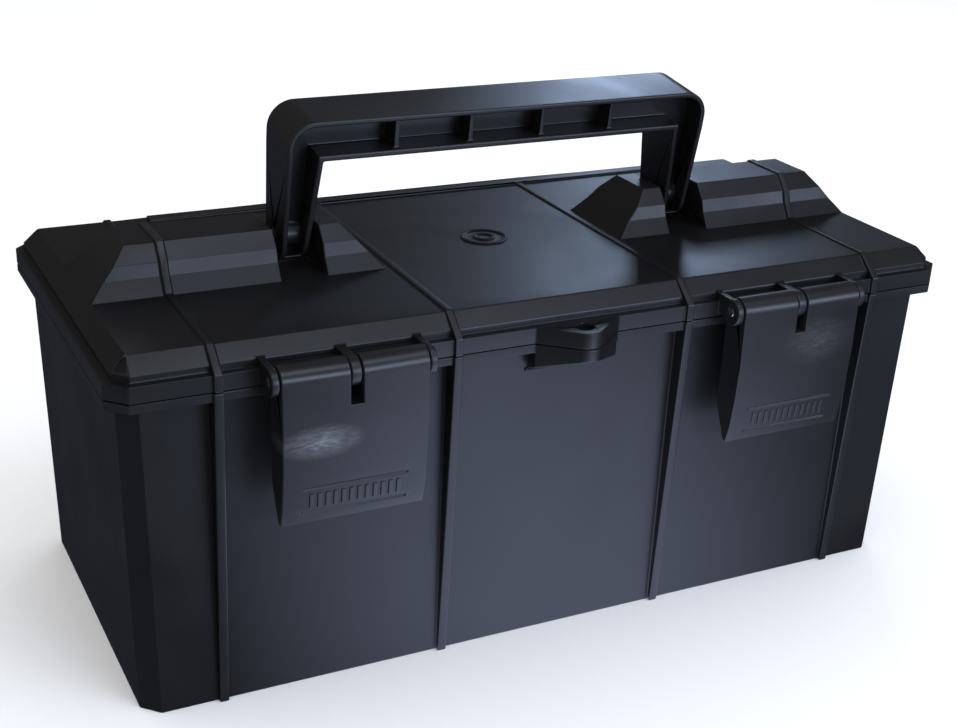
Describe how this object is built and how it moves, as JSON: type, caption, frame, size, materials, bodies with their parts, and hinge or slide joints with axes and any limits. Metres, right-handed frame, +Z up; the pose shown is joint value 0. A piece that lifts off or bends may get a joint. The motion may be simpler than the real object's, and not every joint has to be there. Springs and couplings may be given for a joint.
{
  "type": "toolbox with tray",
  "caption": "Black moulded toolbox with hinged ribbed lid, folding carrying handle, snap latches, padlock lugs and a lift-out divided tray",
  "frame": {"origin": "middle of the tub's flat underside", "axes": "+X along the length, +Y towards the lid hinge at the back, +Z up; the latches face -Y"},
  "size_m": [0.4, 0.2063, 0.2329],
  "materials": {
    "black_plastic": "satin, finely textured moulding",
    "latch_plastic": "satin, lightly scuffed",
    "handle_plastic": "satin",
    "tray_plastic": "satin",
    "pin_steel": "drawn wire"
  },
  "bodies": {
    "tub": {"body_shell": "black_plastic", "hinge_pin_left": "pin_steel", "hinge_pin_right": "pin_steel"},
    "lid": {"lid_shell": "black_plastic", "latch_pin_left": "pin_steel", "latch_pin_right": "pin_steel", "handle_pin_left": "handle_plastic", "handle_pin_right": "handle_plastic"},
    "left_latch": {"latch_left": "latch_plastic"},
    "right_latch": {"latch_right": "latch_plastic"},
    "carrying_handle": {"handle": "handle_plastic"},
    "lift_out_tray": {"tray": "tray_plastic", "tray_spine": "tray_plastic", "grip_post_left": "handle_plastic", "grip_post_right": "handle_plastic", "tray_grip": "handle_plastic", "divider_front_left": "tray_plastic", "divider_front_right": "tray_plastic", "divider_rear_left": "tray_plastic", "divider_rear_right": "tray_plastic"}
  },
  "joints": [
    {"name": "lid_hinge", "type": "hinge", "parent": "tub", "child": "lid", "pos_m": [0, 0.0956, 0.1462], "axis": [-1, 0, 0], "range_deg": [0, 105]},
    {"name": "latch_left_hinge", "type": "hinge", "parent": "lid", "child": "left_latch", "pos_m": [-0.1062, -0.0994, 0.1512], "axis": [-1, 0, 0], "range_deg": [0, 105]},
    {"name": "latch_right_hinge", "type": "hinge", "parent": "lid", "child": "right_latch", "pos_m": [0.1062, -0.0994, 0.1512], "axis": [-1, 0, 0], "range_deg": [0, 105]},
    {"name": "handle_hinge", "type": "hinge", "parent": "lid", "child": "carrying_handle", "pos_m": [0, 0, 0.1752], "axis": [1, 0, 0], "range_deg": [-94, 78]},
    {"name": "tray_lift", "type": "slide", "parent": "tub", "child": "lift_out_tray", "axis": [0, 0, 1], "range_m": [0, 0.074]}
  ],
  "couplings": [
    {"joint": "tray_lift", "follows": "lid_hinge", "m_per_rad": 0.04}
  ]
}
